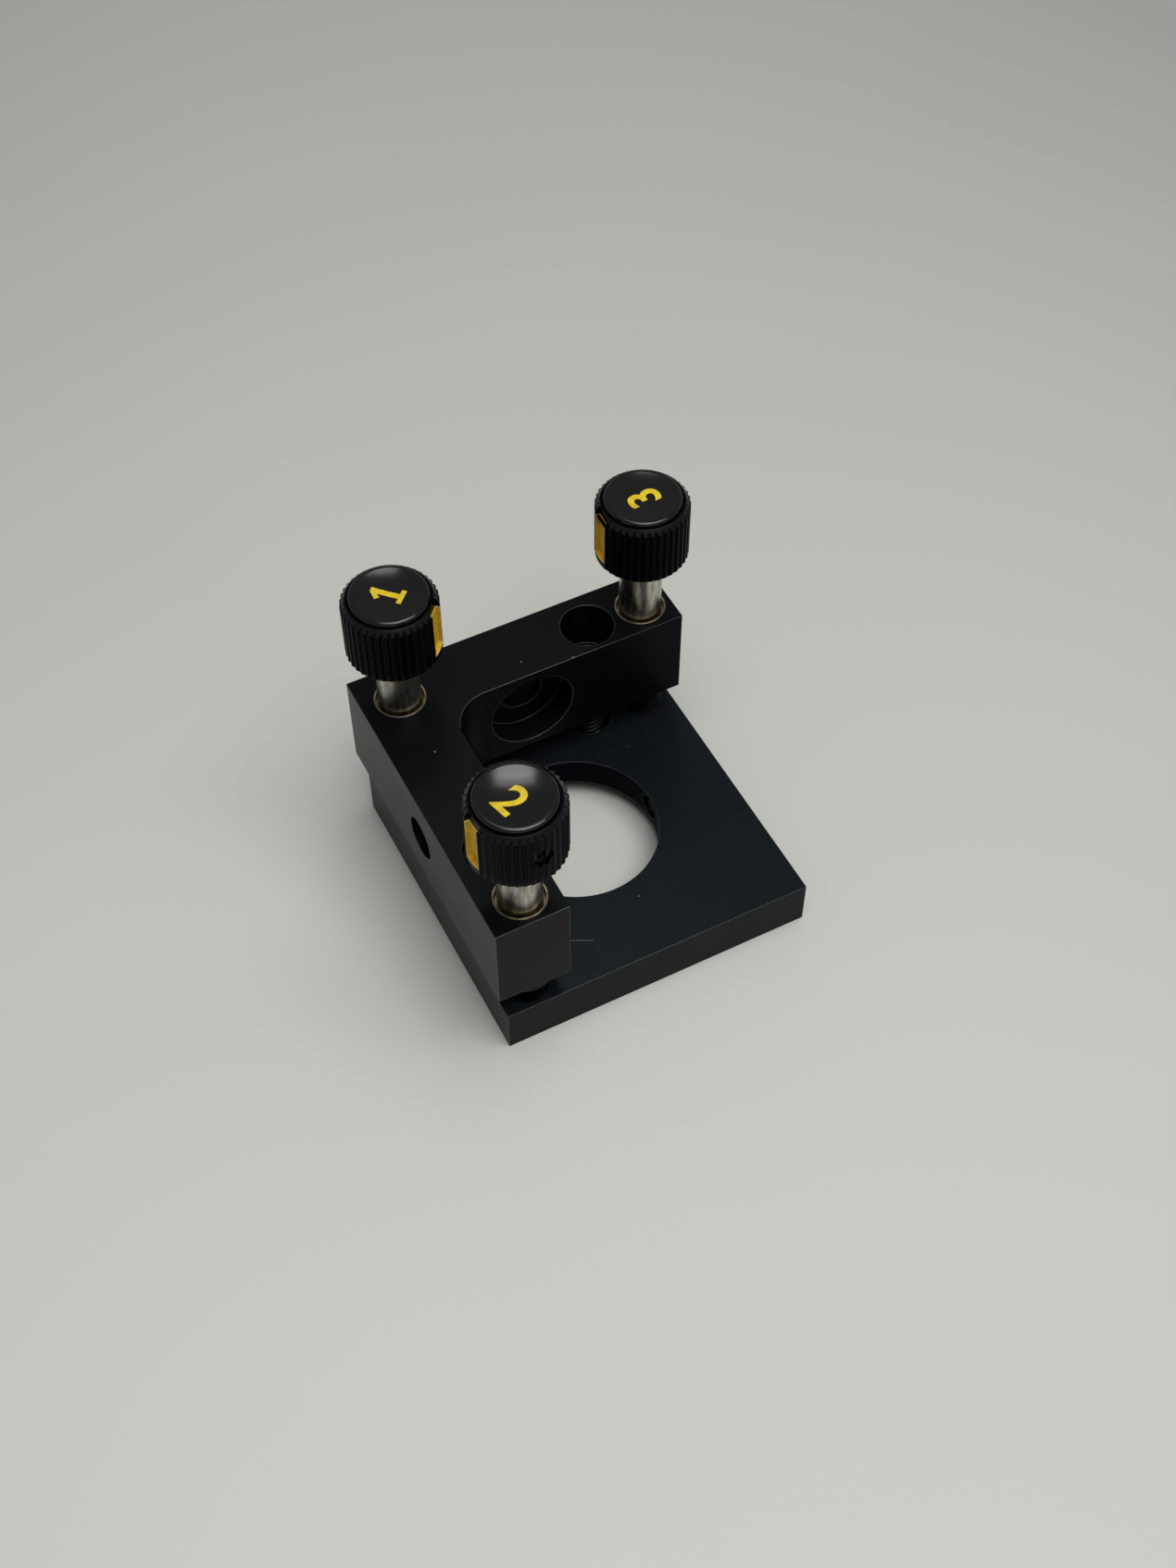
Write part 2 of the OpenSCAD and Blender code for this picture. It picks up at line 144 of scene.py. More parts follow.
class GeometryGraph(Graph):
    """A Geometry Nodes tree with named inputs, ending in Realize Instances and Set Material."""

    def __init__(self, name, inputs):
        super().__init__(bpy.data.node_groups.new(name, "GeometryNodeTree"))
        new_socket = self.tree.interface.new_socket
        for label, kind in {"Geometry": "Geometry", **inputs, "Material": "Material"}.items():
            new_socket(label, in_out="INPUT", socket_type="NodeSocket" + kind)
        new_socket("Geometry", in_out="OUTPUT", socket_type="NodeSocketGeometry")
        self.start = self.tree.nodes.new("NodeGroupInput")

    def input(self, label):
        return Value(self, self.start.outputs[label])

    def end(self, geometry):
        real = self.make("GeometryNodeRealizeInstances", {"Geometry": geometry})
        dressed = self.make("GeometryNodeSetMaterial",
                            {"Geometry": real, "Material": self.input("Material")})
        self.make("NodeGroupOutput", {"Geometry": dressed})
        return self

    def identifier(self, label):
        """The identifier of a named input, by which a modifier's value is set."""
        return next(item.identifier for item in self.tree.interface.items_tree
                    if item.in_out == "INPUT" and item.name == label)


# ---- meshes

def polar(radius, turn):
    """A point of a circle in the XY plane."""
    return Vector((radius * cos(turn), radius * sin(turn), 0.0))


def linked(name, data):
    """A new object in the scene."""
    made = bpy.data.objects.new(name, data)
    bpy.context.scene.collection.objects.link(made)
    return made


def plain_mesh(source):
    """The plain mesh that an object comes to, its modifiers applied. The object itself goes."""
    made = bpy.data.meshes.new_from_object(
        source.evaluated_get(bpy.context.evaluated_depsgraph_get()))
    source.modifiers.clear()
    bpy.data.objects.remove(source)
    return made


@contextmanager
def editing(mesh):
    """A mesh opened for editing, and written back at the end."""
    shape = bmesh.new()
    shape.from_mesh(mesh)
    yield shape
    shape.to_mesh(mesh)
    shape.free()


def shade(mesh, sharp=SHARP):
    """Smooth faces, with the edges that turn by more than an angle kept sharp."""
    with editing(mesh) as shape:
        for face in shape.faces:
            face.smooth = True
        for edge in shape.edges:
            edge.smooth = len(edge.link_faces) == 2 and edge.calc_face_angle() < sharp


def outward(mesh):
    """Turns every face of a closed mesh outwards."""
    with editing(mesh) as shape:
        bmesh.ops.recalc_face_normals(shape, faces=shape.faces)


def place(mesh, spot, turn=0.0):
    """Turns a mesh about Z and puts its origin at a spot."""
    mesh.transform(Matrix.Translation(spot) @ Matrix.Rotation(turn, 4, "Z"))


def rounded(corners, steps=5):
    """A profile through corners, each (radius, height, rounding), with round corners."""
    points = []
    for i, (r, z, rounding) in enumerate(corners):
        here = Vector((r, z))
        if rounding == 0.0:
            points.append(here)
            continue
        before = (Vector(corners[i - 1][:2]) - here).normalized()
        after = (Vector(corners[i + 1][:2]) - here).normalized()
        half = before.angle(after) / 2
        reach = rounding / tan(half)
        centre = here + (before + after).normalized() * rounding / sin(half)
        start = here + before * reach - centre
        sweep = start.angle_signed(here + after * reach - centre)
        for step in range(steps + 1):
            turned = start.copy()
            turned.rotate(Matrix.Rotation(-sweep * step / steps, 2))
            points.append(centre + turned)
    return points


def divided(points, longest):
    """The same profile with no stretch longer than a length."""
    out = [points[0]]
    for start, end in zip(points, points[1:]):
        parts = max(1, ceil((end - start).length / longest))
        out += [start.lerp(end, part / parts) for part in range(1, parts + 1)]
    return out


def chain(name, points):
    """A mesh of points joined in a row by edges."""
    mesh = bpy.data.meshes.new(name)
    mesh.from_pydata(points, [(i, i + 1) for i in range(len(points) - 1)], [])
    return mesh


TREES = {}


def grown(name, mesh, builder, inputs):
    """Runs the Geometry Nodes tree that a function builds, once, on a mesh. Gives the plain
    closed mesh that it makes."""
    if builder not in TREES:
        TREES[builder] = builder()
    graph = TREES[builder]
    source = linked(name + "_source", mesh)
    modifier = source.modifiers.new(graph.tree.name, "NODES")
    modifier.node_group = graph.tree
    for label, value in inputs.items():
        modifier[graph.identifier(label)] = value
    made = plain_mesh(source)
    made.name = name
    outward(made)
    return made


def clothe(mesh, *finishes):
    """Gives a mesh a list of finishes in place of its own."""
    mesh.materials.clear()
    for finish in finishes:
        mesh.materials.append(finish_of(finish))


def cut_by(mesh, tool):
    """Cuts a closed mesh out of another and gives the rest as a plain mesh of the same finish."""
    finish = next(material.name for material in mesh.materials if material)
    body, cutter = linked("cut_body", mesh), linked("cutter", tool)
    modifier = body.modifiers.new("cut", "BOOLEAN")
    modifier.object = cutter
    modifier.operation = "DIFFERENCE"
    modifier.solver = "EXACT"
    rest = plain_mesh(body)
    bpy.data.objects.remove(cutter)
    clothe(rest, finish)
    rest.polygons.foreach_set("material_index", [0] * len(rest.polygons))
    return rest


def prism(name, foot, top):
    """A closed solid between two rings of as many points."""
    sides = len(foot)
    faces = [(i, (i + 1) % sides, sides + (i + 1) % sides, sides + i) for i in range(sides)]
    faces += [tuple(range(sides))[::-1], tuple(range(sides, 2 * sides))]
    mesh = bpy.data.meshes.new(name)
    mesh.from_pydata(foot + top, [], faces)
    outward(mesh)
    return mesh


def pin(name, radius, start, end, sides=48):
    """A round pin between two points, for cutting."""
    way = (end - start).to_track_quat("Z", "Y")
    ring = [way @ polar(radius, 2 * pi * side / sides) for side in range(sides)]
    return prism(name, [start + point for point in ring], [end + point for point in ring])


def joined_copy(node):
    """A copy of a CAD node's mesh with its loose triangles joined."""
    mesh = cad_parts[node].data.copy()
    with editing(mesh) as shape:
        bmesh.ops.remove_doubles(shape, verts=shape.verts, dist=CLOSE)
        bmesh.ops.dissolve_degenerate(shape, edges=shape.edges, dist=CLOSE)
        bmesh.ops.dissolve_limit(shape, angle_limit=FLAT, verts=shape.verts, edges=shape.edges)
    return mesh


def softened(node, width, finishes, slot, body, finish_at=None, name=None):
    """A piece that stands for a CAD node, its sharp edges eased and given the last finish.
    finish_at gives a face's place in the list of finishes from its centre and normal."""
    mesh = joined_copy(node)
    clothe(mesh, *finishes)
    if "custom_normal" in mesh.attributes:
        mesh.attributes.remove(mesh.attributes["custom_normal"])
    if finish_at:
        for face in mesh.polygons:
            face.material_index = int(finish_at(face.center / MM, face.normal))
    piece = linked(name or node + "_eased", mesh)
    bevel = piece.modifiers.new("eased edges", "BEVEL")
    bevel.width = width
    bevel.segments = 2
    bevel.limit_method = "ANGLE"
    bevel.angle_limit = SHARP
    bevel.harden_normals = True
    bevel.material = len(finishes) - 1
    shade(mesh, pi)
    finished(piece, slot, body, node)


def finished(piece, slot, body, *nodes):
    """Hides the CAD nodes that a piece stands for and hangs the piece on the body it rides on.
    The slot is not used.
    """
    if nodes:
        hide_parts(*nodes)
    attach(piece, body)


# ---- finishes

class Finish(Graph):
    """A material that is being built on the piece's own coordinates."""

    def __init__(self, name):
        self.material = bpy.data.materials.new(name)
        self.material.use_nodes = True
        super().__init__(self.material.node_tree)
        self.tree.nodes.clear()
        self.place = self.make("ShaderNodeTexCoord", out="Object")

    def noise(self, size, detail, roughness, seed, vector=None):
        """Noise whose features are about size millimetres across. A seed moves it."""
        return self.make("ShaderNodeTexNoise", {
            "Vector": vector or self.place, "W": seed, "Scale": 1.0 / (size * MM),
            "Detail": detail, "Roughness": roughness}, noise_dimensions="4D")

    def darker(self, factor, colour, share):
        """A colour that goes down to a share of itself."""
        return self.tint(factor, colour, tuple(share * c for c in colour[:3]) + (1.0,))

    def done(self, colour, roughness, height, depth, others):
        """Ends the tree in a Principled shader, with a relief of a depth in millimetres."""
        bump = self.make("ShaderNodeBump", {"Height": height, "Distance": depth * MM}, "Normal")
        shader = self.make("ShaderNodeBsdfPrincipled", {
            "Base Color": colour, "Roughness": roughness, "Normal": bump, **others})
        self.make("ShaderNodeOutputMaterial", {"Surface": shader})

    def specks(self, size, spacing, share, seed):
        """A mask of small round specks, in a share of the cells that are a spacing across."""
        moved = self.vectors("ADD", self.place, (seed, 0.0, 0.0))
        cells = self.make("ShaderNodeTexVoronoi",
                          {"Vector": moved, "Scale": 1.0 / (spacing * MM)})
        chosen = self.axes(Value(self, cells.socket.node.outputs["Color"]))
        return (cells < chosen[1] * (size / spacing)) * (chosen[0] < share)

    def chips(self, spots):
        """A mask of small ragged chips, each (x, y, z, size) in millimetres."""
        ragged = self.noise(0.25, 2.0, 0.6, 8.0)
        mask = 0.0
        for *spot, size in spots:
            away = self.vectors("DISTANCE", self.place, [v * MM for v in spot], "Value")
            mask = (away < ragged * (size * MM)) + mask
        return self.clamp(mask)

    def turning(self, pitch, seed):
        """The height of fine lathe lines round Z."""
        x, y, z = self.axes(self.place)
        return self.noise(pitch, 1.0, 0.5, seed, self.vector(x * 0.02, y * 0.02, z))


def grey(level):
    return (level, level, level, 1.0)


def anodised(name, colour, roughness, shine, seed, wear, spots=(), sheen=(0.92, 0.98, 1.0)):
    """Black anodised aluminium: a fine grain, faint clouds, rubbed places, dust and chips."""
    f = Finish(name)
    cloud = f.noise(7, 3.0, 0.6, seed)
    grain = f.noise(0.09, 2.0, 0.6, seed)
    rubbed = f.spread(f.noise(2.6, 4.0, 0.65, seed + 2.0), 0.6, 0.78)
    dust = f.specks(0.13, 1.9, 0.3, seed * MM)
    base = f.tint(f.clamp(dust * wear + rubbed * (0.05 * wear)),
                  f.darker(cloud, colour, 0.62), grey(0.07))
    rough = roughness + (cloud - 0.5) * 0.1 + (grain - 0.5) * 0.08 - rubbed * 0.06
    if spots:
        base = f.tint(f.chips(spots), base, grey(0.2))
    f.done(base, rough, grain, 0.004, {
        "IOR": 1.5, "Specular IOR Level": shine, "Specular Tint": sheen + (1.0,)})


def cap_gloss(name, colour):
    """Glossy black enamel with faint swirls and a little dust."""
    f = Finish(name)
    swirl = f.noise(1.6, 3.0, 0.6, 4.0)
    dust = f.specks(0.05, 0.9, 0.16, 0.3)
    wave = f.noise(2.2, 1.0, 0.5, 9.0)
    f.done(f.tint(dust * 0.6, colour, grey(0.14)), 0.095 + swirl * 0.05 + dust * 0.3,
           wave, 0.006, {"IOR": 1.5})


def paint(name, colour, deep, roughness, seed, shine=0.5):
    """Thick yellow paint that pools a little darker, with a soft skin."""
    f = Finish(name)
    pool = f.noise(1.1, 3.0, 0.6, seed)
    skin = f.noise(0.25, 2.0, 0.5, seed + 1.0)
    chips = f.specks(0.07, 0.8, 0.12, 0.1 * seed)
    base = f.tint(f.spread(pool, 0.3, 0.75), colour, deep)
    f.done(f.tint(chips * 0.5, base, grey(0.02)), roughness + (skin - 0.5) * 0.16,
           skin, 0.01, {"IOR": 1.48, "Specular IOR Level": shine})


def turned_steel(name, colour, streak_colour, roughness, seed):
    """Satin steel off the lathe: fine rings, brownish streaks, dull patches, and darker vertical
    bands that are painted reflection.
    """
    f = Finish(name)
    rings = f.turning(0.035, seed)
    x, y, z = f.axes(f.place)
    streak = f.noise(0.9, 3.0, 0.6, seed, f.vector(x, y, z * 0.25))
    dull = f.noise(1.8, 3.0, 0.65, seed + 5.0)
    # Painted reflection: darker vertical bands stand in for the dark streaks that the round shaft
    # reflects.
    painted_reflection_band = f.noise(1.3, 2.0, 0.5, seed + 9.0, f.vector(x, y, z * 0.04))
    base = f.tint(f.spread(streak, 0.42, 0.66, 0.0, 0.9), colour, streak_colour)
    base = f.tint(f.spread(painted_reflection_band, 0.46, 0.6, 0.0, 0.55), base, grey(0.16))
    rough = roughness + (dull - 0.5) * 0.22 + (rings - 0.5) * 0.12
    f.done(base, rough, rings, 0.006, {"Metallic": 1.0})


def dull_brass(name, colour, tarnish, painted_shade_height):
    """Turned brass that has gone dull in patches, near black below a height: painted shade under
    the frame.
    """
    f = Finish(name)
    rings = f.turning(0.04, 2.0)
    patch = f.noise(1.2, 3.0, 0.6, 7.0)
    # Painted shade: below a height the brass goes near black, where it sits under the frame.
    painted_shade = f.axes(f.place)[2] < painted_shade_height
    metal = f.tint(f.spread(patch, 0.35, 0.7), colour, tarnish)
    f.done(f.tint(painted_shade, metal, grey(0.012)), 0.3 + patch * 0.2 + painted_shade * 0.2,
           rings, 0.004, {"Metallic": 1.0})


def ground_steel(name, colour, roughness, seed):
    """Hard steel with a ground finish: short scratches one way and faint clouds."""
    f = Finish(name)
    stretched = f.vectors("MULTIPLY", f.place, (0.05, 1.0, 0.3))
    scratch = f.noise(0.05, 2.0, 0.6, seed, stretched)
    cloud = f.noise(1.5, 2.0, 0.5, seed)
    f.done(f.darker(cloud, colour, 0.75), roughness + (scratch - 0.5) * 0.15,
           scratch, 0.002, {"Metallic": 1.0})


def black_oxide(name, colour):
    """Blackened steel with an oily unevenness."""
    f = Finish(name)
    oil = f.noise(0.7, 3.0, 0.6, 3.0)
    f.done(f.tint(oil, colour, grey(0.045)), 0.32 + oil * 0.22, oil, 0.01, {"Metallic": 0.85})


def nylon(name, colour):
    """Nylon with a soft, slightly cloudy skin."""
    f = Finish(name)
    cloud = f.noise(0.8, 2.0, 0.5, 6.0)
    f.done(f.tint(cloud, colour, grey(0.01)), 0.42 + cloud * 0.12,
           cloud, 0.01, {"Specular IOR Level": 0.03})


def worktop(name, near, far, start, end):
    """A pale laminate top with a fine pebbled skin. Its colour is a painted pool of light:
    brightest round the mount, darker behind and to both sides.
    """
    f = Finish(name)
    x, y = f.axes(f.place)[:2]
    # Painted pool of light: the colour darkens with distance behind the mount and to both sides.
    across = x * 0.95 - y * 0.32
    depth = f.spread(x * 0.32 + y * 0.95, start, end) + across * across * 12.0
    pebble = f.noise(0.8, 2.0, 0.55, 1.0)
    cloud = f.noise(60, 3.0, 0.5, 2.0)
    base = f.tint(f.clamp(depth + (cloud - 0.5) * 0.06), near, far)
    flecks = f.specks(0.4, 26, 0.3, 0.7)
    f.done(f.tint(flecks * 0.25, base, grey(0.3)), 0.48 + pebble * 0.14,
           pebble, 0.02, {"IOR": 1.45, "Specular IOR Level": 0.3})


# ---- sizes and colours

def described(kind, name, text, default, **more):
    """A property with its name, description and default, and a unit or subtype where one fits."""
    return kind(name=name, description=text, default=default, **more)


count = partial(described, bpy.props.IntProperty, min=1)
number = partial(described, bpy.props.FloatProperty)
numbers = partial(described, bpy.props.FloatVectorProperty)


def length(name, text, millimetres):
    return number(name, text, millimetres * MM, subtype="DISTANCE", unit="LENGTH", precision=5)


def place_of(name, text, millimetres):
    return numbers(name, text, [v * MM for v in millimetres], subtype="XYZ", unit="LENGTH")


def angles(name, text, degrees):
    return numbers(name, text, [radians(d) for d in degrees], subtype="EULER")


def colour(name, text, value):
    return numbers(name, text, value + (1.0,), subtype="COLOR", size=4, min=0.0, max=1.0)


class MountKnobSizes(bpy.types.PropertyGroup):
    """Sizes of the knobs. Each is fitted round its CAD node's axis."""

    flutes: count("Flutes", "Number of flute pitches round a knob", 40)
    flute_width: length("Flute width", "Width of one flute", 0.8)
    flute_depth: length("Flute depth", "Depth of one flute", 0.3)
    softness: length("Ridge softness", "Distance over which a flute's edge is rounded", 0.035)
    foot: length("Foot chamfer", "Chamfer at the foot of the knob", 0.55)
    shoulder_radius: length("Shoulder radius", "Radius where the shoulder meets the top", 6.2)
    shoulder_height: length("Shoulder height", "Height of the shoulder's slope", 0.75)
    plain_pitches: count("Index pitches", "Flute pitches that the index slot takes", 3)
    slot_width: length("Slot width", "Width of the index slot", 3.05)
    slot_depth: length("Slot depth", "Depth of the index slot", 0.84)
    slot_foot: length("Slot foot", "Distance of the slot from the knob's foot", 1.5)
    hole: length("Set screw hole", "Diameter of the set screw's hole", 3.0)
    hole_height: length("Hole height", "Height of that hole above the foot", 5.3)
    marks: angles("Index angles", "Where each index mark points: corner, front, right",
                  (318.0, 185.5, 177.5))


class MountCapSizes(bpy.types.PropertyGroup):
    """Sizes of the caps and of the numbers on them."""

    seat: length("Seat depth", "Depth that the cap sits in the knob", 0.9)
    rim_round: length("Rim rounding", "Radius of the rim's outer edge", 0.42)
    dish_radius: length("Dish radius", "Radius of the shallow dish in the top", 5.05)
    dish_depth: length("Dish depth", "Depth of the dish", 0.35)
    spigot: length("Spigot", "Length of the spigot below the cap", 1.4)
    number_size: length("Number size", "Type size of the number", 6.8)
    number_weight: length("Number weight", "How far the strokes are thickened", 0.12)
    number_height: length("Number height", "Height of the number above the dish", 0.045)
    readings: angles("Reading angles", "Way that each number reads: corner, front, right",
                     (44.7, -74.3, 93.8))


class MountSpringSizes(bpy.types.PropertyGroup):
    """Sizes of the two extension springs."""

    wire: length("Wire diameter", "Diameter of the spring wire", 0.8)
    coil_radius: length("Coil radius", "Radius of the coils at the middle of the wire", 2.4)
    turns: count("Turns", "Number of turns, an even number", 12)
    bar: length("Bar diameter", "Diameter of the bars that the hooks hold", 1.6)
    hook_gap: length("Hook gap", "Clearance of the hook under its bar", 0.08)
    hook_open: number("Hook sweep", "Angle that the hook's wire sweeps round its bar",
                      radians(240), subtype="ANGLE")


class MountBodySizes(bpy.types.PropertyGroup):
    """How the edges of the frame, the plate and the small parts are eased."""

    frame_edge: length("Frame edge", "Width of the eased edges of the frame and the plate", 0.2)
    small_edge: length("Small edge", "Width of the eased edges of small parts", 0.04)


class MountColours(bpy.types.PropertyGroup):
    """Colours of the finishes."""

    body: colour("Frame", "Anodising of the frame", (0.0044, 0.005, 0.0062))
    plate: colour("Plate", "Anodising of the plate", (0.0088, 0.0126, 0.015))
    face: colour("Plate face", "Anodising of the plate's rear face", (0.007, 0.0096, 0.0122))
    # Painted shade: the walls of the optic's bore take this darker copy of the plate's anodising,
    # with almost no gloss.
    bore: colour("Bore", "Anodising of the optic's bore", (0.0036, 0.0066, 0.0092))
    # Painted shade: the frame's inner faces take this darker copy of the anodising.
    inner: colour("Inner faces", "Anodising of the inner faces", (0.0018, 0.0032, 0.0048))
    # Worn edges with a painted highlight: the eased edges take this lighter grey so that they
    # show as light lines.
    edge: colour("Edges", "Worn edges of the frame and the plate", (0.04, 0.042, 0.044))
    knob: colour("Knob", "Anodising of the knobs", (0.0012, 0.0014, 0.0017))
    shoulder: colour("Shoulder", "Turned shoulder of the knobs", (0.0022, 0.003, 0.0038))
    cap: colour("Cap", "Gloss black of the caps", (0.0032, 0.0034, 0.004))
    ink: colour("Number", "Yellow of the numbers", (0.84, 0.66, 0.012))
    index: colour("Index", "Amber yellow in the index slots", (0.76, 0.47, 0.01))
    # Painted highlight: the eased edges of the index fill take this pale yellow.
    rim: colour("Index edge", "Pale edges of the index fill", (0.78, 0.66, 0.3))
    steel: colour("Steel", "Steel of the adjuster screws", (0.6, 0.575, 0.52))
    hard: colour("Hard steel", "Hardened steel of the balls and the bars", (0.3, 0.3, 0.31))
    # Near black: partly the seats' blackened steel, partly painted shade of the gap between frame
    # and plate.
    seat: colour("Seat steel", "Blackened steel of the seats", (0.035, 0.036, 0.04))
    # Dark: partly the springs' dark wire, partly painted shade of the gap and pockets they sit
    # in.
    wire: colour("Spring wire", "Dark wire of the springs", (0.03, 0.03, 0.032))
    brass: colour("Brass", "Brass of the bushings", (0.4, 0.355, 0.25))
    oxide: colour("Oxide", "Black oxide of the set screws", (0.02, 0.02, 0.022))
    nylon: colour("Nylon", "Nylon of the optic screw's tip", (0.006, 0.006, 0.0065))
    # The worktop's two colours make a painted pool of light: near is the lit colour round the
    # mount, far the dimmer colour away from it.
    near: colour("Worktop near", "Worktop round the mount", (0.638, 0.645, 0.617))
    far: colour("Worktop far", "Worktop far from the mount", (0.37, 0.374, 0.358))


class MountStageSizes(bpy.types.PropertyGroup):
    """The camera, the lamps and the worktop."""

    camera: place_of("Camera", "Where the camera stands", (-85.20, -167.09, 260.87))
    aim: place_of("Aim", "The point that the camera looks at", (0.0, -1.49, 21.0))
    roll: number("Roll", "Turn of the camera about its line of sight", radians(-0.072),
                 subtype="ANGLE")
    lens: number("Lens", "Focal length on a 36 mm tall frame", 47.618, subtype="DISTANCE_CAMERA")
    floor: length("Worktop size", "Length of the worktop's sides", 6000.0)
    panel_radiance: number("Panel radiance", "Brightness of the ceiling panel", 3.8)
    glow_share: number("Glow share", "Brightness of the glow under the panel, as a share", 0.68)
    fill_radiance: number("Fill radiance", "Brightness of the soft fill", 3.5)
    surround: number("Surround", "Brightness of the even surround", 0.24)


GROUPS = {"mount_knob": MountKnobSizes, "mount_cap": MountCapSizes,
          "mount_spring": MountSpringSizes, "mount_body": MountBodySizes,
          "mount_colours": MountColours, "mount_stage": MountStageSizes}


# ---- places from the frame

def centre_of(node):
    low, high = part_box(node)
    return (low + high) / 2


def axis_of(side):
    """Where an adjuster's axis stands, as a point at the height of its ball's centre."""
    return centre_of(side + "_ball")


def span(node):
    """The lowest and the highest height of a CAD node."""
    low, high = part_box(node)
    return low.z, high.z


def radius_of(node):
    low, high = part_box(node)
    return (high.x - low.x) / 2


# ---- turned parts

def turned_graph():
    """Turns a profile (X is the radius, Y the height) round Z and cuts flutes by a formula."""
    g = GeometryGraph("turned part", {
        "Columns": "Int", "Flutes": "Int", "Cutter Radius": "Float", "Cutter Distance": "Float",
        "Plain Half Angle": "Float", "Softness": "Float"})
    profile = g.input("Geometry")
    rows = g.make("GeometryNodeAttributeDomainSize", {"Geometry": profile}, "Point Count")
    columns = g.input("Columns")
    sheet = g.make("GeometryNodeMeshGrid", {"Vertices X": columns + 1, "Vertices Y": rows})
    index = g.make("GeometryNodeInputIndex")
    column = g.math("FLOOR", (index + 0.5) / rows)
    row = index - column * rows
    spot = g.make("GeometryNodeInputPosition")
    sampled = g.make("GeometryNodeSampleIndex", {
        "Geometry": profile, "Value": spot, "Index": row}, data_type="FLOAT_VECTOR")
    blank, height = g.axes(sampled)[:2]
    turn = column * (2 * pi) / columns
    flutes = g.input("Flutes")
    pitch = 2 * pi / g.math("MAXIMUM", flutes, 1.0)
    from_flute = g.math("WRAP", turn, pitch * 0.5, pitch * -0.5)
    from_mark = g.math("ABSOLUTE", g.math("WRAP", turn, pi, -pi))
    far = g.input("Cutter Distance")
    cutter = g.input("Cutter Radius")
    across = far * g.math("SINE", from_flute)
    inside = g.math("MAXIMUM", cutter * cutter - across * across, 0.0)
    wall = far * g.math("COSINE", from_flute) - g.math("SQRT", inside)
    plain = g.clamp((from_mark < g.input("Plain Half Angle") + 1e-4) + (flutes < 1.0))
    cut = g.math("SMOOTH_MIN", blank, wall + plain, g.input("Softness"))
    radius = g.make("GeometryNodeSwitch", {
        "Switch": flutes > 0.0, "False": blank, "True": cut}, input_type="FLOAT")
    point = g.vector(radius * g.math("COSINE", turn), radius * g.math("SINE", turn), height)
    wrapped = g.make("GeometryNodeSetPosition", {"Geometry": sheet, "Position": point})
    return g.end(g.make("GeometryNodeMergeByDistance", {"Geometry": wrapped, "Distance": CLOSE}))


def turned(name, profile, finish, columns, flutes=None):
    """A mesh turned from a profile of (radius, height) points about Z. Left out, the inputs of
    the flutes are 0 and none are cut."""
    row = chain(name + "_profile", [point.to_3d() for point in profile])
    return grown(name, row, turned_graph,
                 {"Columns": columns, "Material": finish_of(finish), **(flutes or {})})


def turned_piece(node, ending, profile, finish, slot, body, spot, columns=96):
    """A turned part that stands for a CAD node and is named after it."""
    mesh = turned(node + ending, profile, finish, columns)
    place(mesh, spot)
    shade(mesh)
    finished(linked(node + ending, mesh), slot, body, node)


# ---- knobs

def knob_profile(sizes, radius, height, bore, cap_radius, cap_seat):
    """The closed outline of a knob's blank, from the bore's foot round to it again."""
    edge = 0.07 * MM
    return divided(rounded([
        (bore, 0.0, 0.0), (radius - sizes.foot, 0.0, edge), (radius, sizes.foot, edge),
        (radius, height - sizes.shoulder_height, edge), (sizes.shoulder_radius, height, edge),
        (cap_radius, height, edge), (cap_radius, height - cap_seat, 0.0),
        (bore, height - cap_seat, 0.0), (bore, 0.0, 0.0)]), 0.6 * MM)


def knob_slot(sizes, radius, height):
    """The cutter of the index slot about +X, flat floored and open at the top."""
    half = sizes.slot_width / 2
    low, high = radius - sizes.slot_depth, radius + MM
    corners = [(low, -half), (high, -half), (high, half), (low, half)]
    foot, top = ([Vector((x, y, z)) for x, y in corners] for z in (sizes.slot_foot, height + MM))
    return prism("slot", foot, top)


def fluted_knob(side, sizes, caps):
    """One knob: its fluted blank, less the index slot and the set screw's hole."""
    foot, top = span(side + "_knob")
    radius = radius_of(side + "_knob")
    bore = radius_of(side + "_screw") + 0.01 * MM
    cap_radius = radius_of(side + "_cap") + 0.12 * MM
    depth, width = sizes.flute_depth, sizes.flute_width
    cutter = (width * width / 4 + depth * depth) / (2 * depth)
    columns_per_flute = 16
    mesh = turned(side + "_knob_fluted", knob_profile(
        sizes, radius, top - foot, bore, cap_radius, caps.seat), "knob black",
        columns_per_flute * sizes.flutes, {
            "Flutes": sizes.flutes, "Cutter Radius": cutter,
            "Cutter Distance": radius - depth + cutter, "Softness": sizes.softness,
            "Plain Half Angle": sizes.plain_pitches * pi / sizes.flutes})
    mesh = cut_by(mesh, knob_slot(sizes, radius, top - foot))
    way = polar(1.0, -pi / 2 if side == "right" else pi / 2)
    height = Vector((0.0, 0.0, sizes.hole_height))
    mesh = cut_by(mesh, pin("hole", sizes.hole / 2, way * (bore - 0.5 * MM) + height,
                            way * (radius + MM) + height))
    mesh.materials.append(finish_of("knob shoulder"))
    for face in mesh.polygons:
        sloping = 0.3 < face.normal.z < 0.95
        if sloping and face.center.z > top - foot - sizes.shoulder_height:
            face.material_index = 1
    spot = axis_of(side)
    spot.z = foot
    place(mesh, spot, sizes.marks[SIDES.index(side)])
    shade(mesh, KNOB_SHARP)
    return mesh


# ---- caps

def dish_height(sizes, radius):
    """How far the dished top lies below the rim at a radius."""
    reach, depth = sizes.dish_radius, sizes.dish_depth
    ball = (reach * reach + depth * depth) / (2 * depth)
    return depth - ball + sqrt(ball * ball - min(radius, reach) ** 2)


